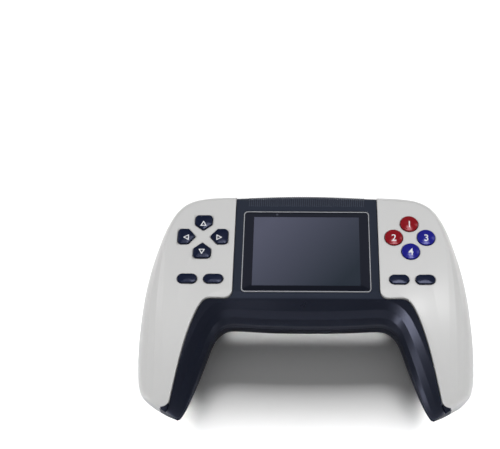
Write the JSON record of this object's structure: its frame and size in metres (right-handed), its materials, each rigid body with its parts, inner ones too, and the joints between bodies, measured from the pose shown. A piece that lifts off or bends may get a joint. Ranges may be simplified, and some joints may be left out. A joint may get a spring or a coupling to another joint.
{
  "type": "handheld game console",
  "caption": "Pad-shaped handheld game console: wide screen between two swept grips, arrow and action keys, shoulder buttons, and a battery bay in the back",
  "frame": {"origin": "On the plane that the console rests on when it lies on its back, under the middle of its overall box", "axes": "X runs to the player's right across both grips, Y towards the top edge with the shoulder buttons, Z out of the face; the screen's centre line is at y = 25.8 mm"},
  "size_m": [0.1858, 0.1335, 0.0377],
  "materials": {
    "white_shell": "fine satin texture",
    "black_shell": "smooth satin with a soft sheen",
    "lens": "polished, printed black from behind round a clear window",
    "bright_trim": "bright turned edge",
    "navy_key": "semi-gloss",
    "red_key": "gloss",
    "blue_key": "gloss",
    "display_panel": "smooth",
    "circuit_board": "solder mask",
    "chip": "moulded",
    "rubber_mat": "soft matte",
    "foam": "open foam",
    "contact_metal": "stamped",
    "amber_film": "thin film",
    "battery_wrap": "heat-shrunk film",
    "black_part": "moulded",
    "light_pipe": "clear",
    "screw_steel": "blackened"
  },
  "bodies": {
    "housing": {"screen_lens": "lens", "lens_trim": "bright_trim", "lcd_gasket": "foam", "lcd_module": "display_panel", "lcd_foam_pad": "foam", "main_board": "circuit_board", "board_chips": "chip", "display_connector": "black_part", "display_tail": "amber_film", "dpad_mat": "rubber_mat", "action_mat": "rubber_mat", "left_pill_mat": "rubber_mat", "right_pill_mat": "rubber_mat", "front_frame": "black_shell", "rear_shell": "black_shell", "left_faceplate": "white_shell", "right_faceplate": "white_shell", "left_shoulder_pin": "screw_steel", "right_shoulder_pin": "screw_steel", "left_shoulder_switch": "contact_metal", "right_shoulder_switch": "contact_metal", "battery": "battery_wrap", "battery_contacts": "contact_metal", "speaker": "black_part", "charging_port": "contact_metal", "sound_jack": "black_part", "power_switch": "contact_metal", "status_light": "light_pipe", "board_screws": "screw_steel", "case_screws": "screw_steel"},
    "dpad_up": {"dpad_up_key": "navy_key"},
    "dpad_left": {"dpad_left_key": "navy_key"},
    "dpad_down": {"dpad_down_key": "navy_key"},
    "dpad_right": {"dpad_right_key": "navy_key"},
    "action_1": {"action_button_1": "red_key"},
    "action_2": {"action_button_2": "red_key"},
    "action_3": {"action_button_3": "blue_key"},
    "action_4": {"action_button_4": "blue_key"},
    "left_outer_pill": {"left_outer_pill_key": "navy_key"},
    "left_inner_pill": {"left_inner_pill_key": "navy_key"},
    "right_inner_pill": {"right_inner_pill_key": "navy_key"},
    "right_outer_pill": {"right_outer_pill_key": "navy_key"},
    "left_shoulder": {"left_shoulder_button": "black_part"},
    "right_shoulder": {"right_shoulder_button": "black_part"},
    "power_slider": {"power_switch_knob": "black_part"},
    "door": {"battery_door": "black_shell"}
  },
  "joints": [
    {"name": "dpad_up_press", "type": "slide", "parent": "housing", "child": "dpad_up", "axis": [0, 0, -1], "range_m": [0, 0.0012], "stiffness_N_per_m": 400},
    {"name": "dpad_left_press", "type": "slide", "parent": "housing", "child": "dpad_left", "axis": [0, 0, -1], "range_m": [0, 0.0012], "stiffness_N_per_m": 400},
    {"name": "dpad_down_press", "type": "slide", "parent": "housing", "child": "dpad_down", "axis": [0, 0, -1], "range_m": [0, 0.0012], "stiffness_N_per_m": 400},
    {"name": "dpad_right_press", "type": "slide", "parent": "housing", "child": "dpad_right", "axis": [0, 0, -1], "range_m": [0, 0.0012], "stiffness_N_per_m": 400},
    {"name": "action_1_press", "type": "slide", "parent": "housing", "child": "action_1", "axis": [0, 0, -1], "range_m": [0, 0.0012], "stiffness_N_per_m": 400},
    {"name": "action_2_press", "type": "slide", "parent": "housing", "child": "action_2", "axis": [0, 0, -1], "range_m": [0, 0.0012], "stiffness_N_per_m": 400},
    {"name": "action_3_press", "type": "slide", "parent": "housing", "child": "action_3", "axis": [0, 0, -1], "range_m": [0, 0.0012], "stiffness_N_per_m": 400},
    {"name": "action_4_press", "type": "slide", "parent": "housing", "child": "action_4", "axis": [0, 0, -1], "range_m": [0, 0.0012], "stiffness_N_per_m": 400},
    {"name": "left_outer_pill_press", "type": "slide", "parent": "housing", "child": "left_outer_pill", "axis": [0, 0, -1], "range_m": [0, 0.0012], "stiffness_N_per_m": 400},
    {"name": "left_inner_pill_press", "type": "slide", "parent": "housing", "child": "left_inner_pill", "axis": [0, 0, -1], "range_m": [0, 0.0012], "stiffness_N_per_m": 400},
    {"name": "right_inner_pill_press", "type": "slide", "parent": "housing", "child": "right_inner_pill", "axis": [0, 0, -1], "range_m": [0, 0.0012], "stiffness_N_per_m": 400},
    {"name": "right_outer_pill_press", "type": "slide", "parent": "housing", "child": "right_outer_pill", "axis": [0, 0, -1], "range_m": [0, 0.0012], "stiffness_N_per_m": 400},
    {"name": "left_shoulder_press", "type": "hinge", "parent": "housing", "child": "left_shoulder", "pos_m": [-0.0494, 0.059, 0.017], "axis": [0, 0, 1], "range_deg": [0, 4], "stiffness_Nm_per_rad": 0.4},
    {"name": "right_shoulder_press", "type": "hinge", "parent": "housing", "child": "right_shoulder", "pos_m": [0.0494, 0.059, 0.017], "axis": [0, 0, -1], "range_deg": [0, 4], "stiffness_Nm_per_rad": 0.4},
    {"name": "power_slide", "type": "slide", "parent": "housing", "child": "power_slider", "axis": [1, 0, 0], "range_m": [0, 0.003]},
    {"name": "door_lift", "type": "slide", "parent": "housing", "child": "door", "axis": [0, 0, -1], "range_m": [0, 0.005]}
  ]
}
